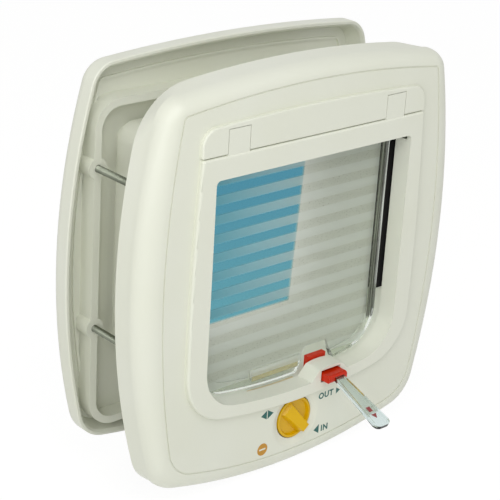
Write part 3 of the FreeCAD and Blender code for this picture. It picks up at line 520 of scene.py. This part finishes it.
def pointer_print(name, outline):
    """A flat print on the tray's floor, its points given sideways and along the pointer from the nose."""
    side, along = np.array(outline, float).T
    cos, sin = math.cos(POINTER_TILT), math.sin(POINTER_TILT)
    layers = []
    for rise in (TRAY_FLOOR + PRINT_LIFT, TRAY_FLOOR + INK_THICK):
        layers.append(np.column_stack([
            NOSE_AT[0] + side,
            NOSE_AT[1] - along * cos - rise * sin,
            NOSE_AT[2] - along * sin + rise * cos]))
    n = len(outline)
    faces = [list(range(n - 1, -1, -1)), list(range(n, 2 * n))]
    faces += [[i, (i + 1) % n, n + (i + 1) % n, n + i] for i in range(n)]
    mesh_piece(name, np.vstack(layers), faces, print_red, "indicator")


# Dull red ink: a small bar and an arrowhead near the pointer's end.
print_red = ink("red_pad_print_ink", PRINT_RED)
pointer_print("pointer_print_bar", [
    (BAR_LEFT, BAR_FAR), (BAR_LEFT, BAR_NEAR), (BAR_RIGHT, BAR_NEAR), (BAR_RIGHT, BAR_FAR)])
pointer_print("pointer_print_arrow", [
    (ARROW_LEFT, ARROW_NEAR), (ARROW_RIGHT, ARROW_NEAR), (ARROW_MIDDLE, ARROW_FAR)])


# The knob: a dished disc with a rim, and a tapered grip that points at the chosen mark.
# One piece of golden-yellow ABS, held by its clipped shaft.

KNOB_GOLD = "#E0B400"
KNOB_GOLD_DEEP = "#CFA300"
KNOB_ROUGHNESS = 0.30
KNOB_RELIEF = 0.00002
KNOB_SHINE = 0.3

# Golden ABS: saturated, with soft gloss on the grip's faces.
golden_abs = moulded_plastic("knob_abs_golden", KNOB_GOLD, KNOB_GOLD_DEEP, KNOB_ROUGHNESS, MOULD_GRAIN,
                             KNOB_RELIEF, shine=KNOB_SHINE)
finish_part("lock_knob", golden_abs)


# Four long screws from the base into the outdoor frame's bosses.
# Zinc-plated steel with a rolled thread along the whole shank; they clamp both frames to the door.

ZINC = "#8C9182"
ZINC_DULL = "#6A6E62"
ZINC_ROUGHNESS = 0.34
ZINC_PATCH = 0.006
THREAD_PITCH = 0.0009
THREAD_DEPTH = 0.0005
CREST_RADIUS = 0.0020
HEAD_HEIGHT = 0.0023
HEAD_FLAT = 0.45
DOME_SHARE = 0.5
DOME_STEPS = 8
ROUND_STEPS = 20
STEPS_PER_TURN = 6
NECK_STEP = 0.00001
THREAD_START = 0.0001


def lathe(name, radius, along, x, z, material):
    """Closed surface: row i lies at along[i] on Y, its radius is a function of row and angle."""
    rows, steps = radius.shape
    angle = np.arange(steps) / steps * 2 * math.pi
    px = x + radius * np.cos(angle)
    pz = z + radius * np.sin(angle)
    py = np.broadcast_to(along[:, None], radius.shape)
    grid = np.stack([px, py, pz], -1).reshape(-1, 3)
    ends = np.array([[x, along[0], z], [x, along[-1], z]])
    i = np.arange(rows - 1)[:, None] * steps
    j = np.arange(steps)
    k = (j + 1) % steps
    walls = np.stack([i + j, i + k, i + steps + k, i + steps + j], -1).reshape(-1, 4).tolist()
    first, last = rows * steps, rows * steps + 1
    far = (rows - 1) * steps
    walls += [[first, b, a] for a, b in zip(j.tolist(), k.tolist())]
    walls += [[last, far + a, far + b] for a, b in zip(j.tolist(), k.tolist())]
    return mesh_piece(name, np.vstack([grid, ends]), walls, material, "frame")


def threaded_screw(node):
    """Pan head, then a shank whose radius falls by the thread's depth in a triangle wave round a helix."""
    low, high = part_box(node)
    x, z = (low[0] + high[0]) / 2, (low[2] + high[2]) / 2
    head = (high[0] - low[0]) / 2
    turn = np.linspace(0, math.pi / 2, DOME_STEPS)
    dome_y = low[1] + HEAD_HEIGHT * (1 - np.cos(turn)) * DOME_SHARE
    dome_r = head * (HEAD_FLAT + (1 - HEAD_FLAT) * np.sin(turn))
    neck = low[1] + HEAD_HEIGHT
    shank_y = np.arange(neck + THREAD_START, high[1], THREAD_PITCH / STEPS_PER_TURN)
    angle = np.arange(ROUND_STEPS) / ROUND_STEPS
    wave = (shank_y[:, None] - neck) / THREAD_PITCH - angle
    crest = np.abs(wave - np.round(wave)) * 2
    thread = CREST_RADIUS - THREAD_DEPTH * crest
    along = np.concatenate([dome_y, [neck - NECK_STEP], shank_y])
    top = np.repeat(np.concatenate([dome_r, [head]])[:, None], ROUND_STEPS, 1)
    radius = np.vstack([top, thread])
    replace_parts(lathe(node + "_threaded", radius, along, x, z, zinc_steel), node)


# Zinc plating: a soft grey-green shine, broken up by the thread.
zinc_steel = bare_metal("screw_steel_zinc_plated", ZINC, ZINC_DULL, ZINC_ROUGHNESS, ZINC_PATCH)
for name in ("screw_upper_left", "screw_upper_right", "screw_lower_left", "screw_lower_right"):
    threaded_screw(name)


# The studio: a plain pale floor, a pale surround, two soft lamps and the camera.
# The floor and the surround look white to the camera, in gloss and through clear plastic, while
# they light the object at a plain level.

FLOOR_Z = cad_box[0][2]
FLOOR_SIZE = 6.0
PAPER = "#F2F2F0"
WHITE = (1, 1, 1, 1)
PAPER_GLOW = 1.06
PAPER_SHARE = 0.88
SURROUND_LIGHT = 0.50
LEFT_PLACE, LEFT_SIZE, LEFT_POWER = (-1.25, -0.85, 0.4), 1.2, 8
HIGH_PLACE, HIGH_SIZE, HIGH_POWER = (-0.3, -0.45, 0.7), 0.6, 2.7
CAMERA_PLACE = (-0.5404, -0.5591, 0.3224)
CAMERA_RIGHT = (0.7483, -0.6609, 0.0572)
CAMERA_UP = (0.2106, 0.3185, 0.9242)
CAMERA_BACK = (-0.6290, -0.6795, 0.3776)
LENS = 113.67
SENSOR = 36.0


def backdrop_path(tree):
    """1 for rays that look at the background, straight on, in gloss or through clear plastic."""
    path = add(tree, "LightPath").outputs
    seen = calc(tree, "MAXIMUM", path["Is Camera Ray"], path["Is Glossy Ray"])
    return calc(tree, "MAXIMUM", seen, path["Is Transmission Ray"])


def paper_floor():
    """Matt paper that looks white to the camera and keeps part of the object's shadow."""
    material, tree, place = blank("floor_paper")
    matt = add(tree, "BsdfDiffuse", {"Color": linear(PAPER)})
    white = add(tree, "Emission", {"Color": WHITE, "Strength": PAPER_GLOW})
    share = calc(tree, "MULTIPLY", backdrop_path(tree), PAPER_SHARE)
    both = add(tree, "MixShader", {0: share, 1: matt.outputs["BSDF"], 2: white.outputs["Emission"]})
    add(tree, "OutputMaterial", {"Surface": both.outputs["Shader"]})
    return material


def stand_at(piece, place, right, up, back):
    """Places a lamp or the camera, with the directions of its own three axes."""
    stand = np.eye(4)
    stand[:3, 0], stand[:3, 1], stand[:3, 2], stand[:3, 3] = right, up, back, place
    piece.matrix_world = Matrix(stand.tolist())
    bpy.context.scene.collection.objects.link(piece)


def lamp(name, place, size, power):
    """A square soft box at a place, turned to face the origin."""
    data = bpy.data.lights.new(name, "AREA")
    data.size = size
    data.energy = power
    away = np.array(place, float)
    away /= np.linalg.norm(away)
    side = np.cross((0.0, 0.0, 1.0), away)
    side /= np.linalg.norm(side)
    stand_at(bpy.data.objects.new(name, data), place, side, np.cross(away, side), away)


half = FLOOR_SIZE / 2
floor_corners = [(-half, -half, FLOOR_Z), (half, -half, FLOOR_Z), (half, half, FLOOR_Z), (-half, half, FLOOR_Z)]
floor_mesh = bpy.data.meshes.new("floor")
floor_mesh.from_pydata(floor_corners, [], [(0, 1, 2, 3)])
floor_mesh.materials.append(paper_floor())
floor = bpy.data.objects.new("floor", floor_mesh)
bpy.context.scene.collection.objects.link(floor)

world = bpy.data.worlds.new("studio")
bpy.context.scene.world = world
world.use_nodes = True
sky = world.node_tree
sky.nodes.clear()
strength = spread(sky, backdrop_path(sky), 0.0, 1.0, SURROUND_LIGHT, 1.0)
air = add(sky, "Background", {"Color": WHITE, "Strength": strength})
add(sky, "OutputWorld", {"Surface": air.outputs["Background"]})

lamp("left", LEFT_PLACE, LEFT_SIZE, LEFT_POWER)
lamp("high", HIGH_PLACE, HIGH_SIZE, HIGH_POWER)

# The camera stands left of the object and above it, about 0.84 m away.
camera_data = bpy.data.cameras.new("camera")
camera_data.lens = LENS
camera_data.sensor_width = SENSOR
camera = bpy.data.objects.new("camera", camera_data)
stand_at(camera, CAMERA_PLACE, CAMERA_RIGHT, CAMERA_UP, CAMERA_BACK)
bpy.context.scene.camera = camera
bpy.context.scene.view_settings.view_transform = "Standard"
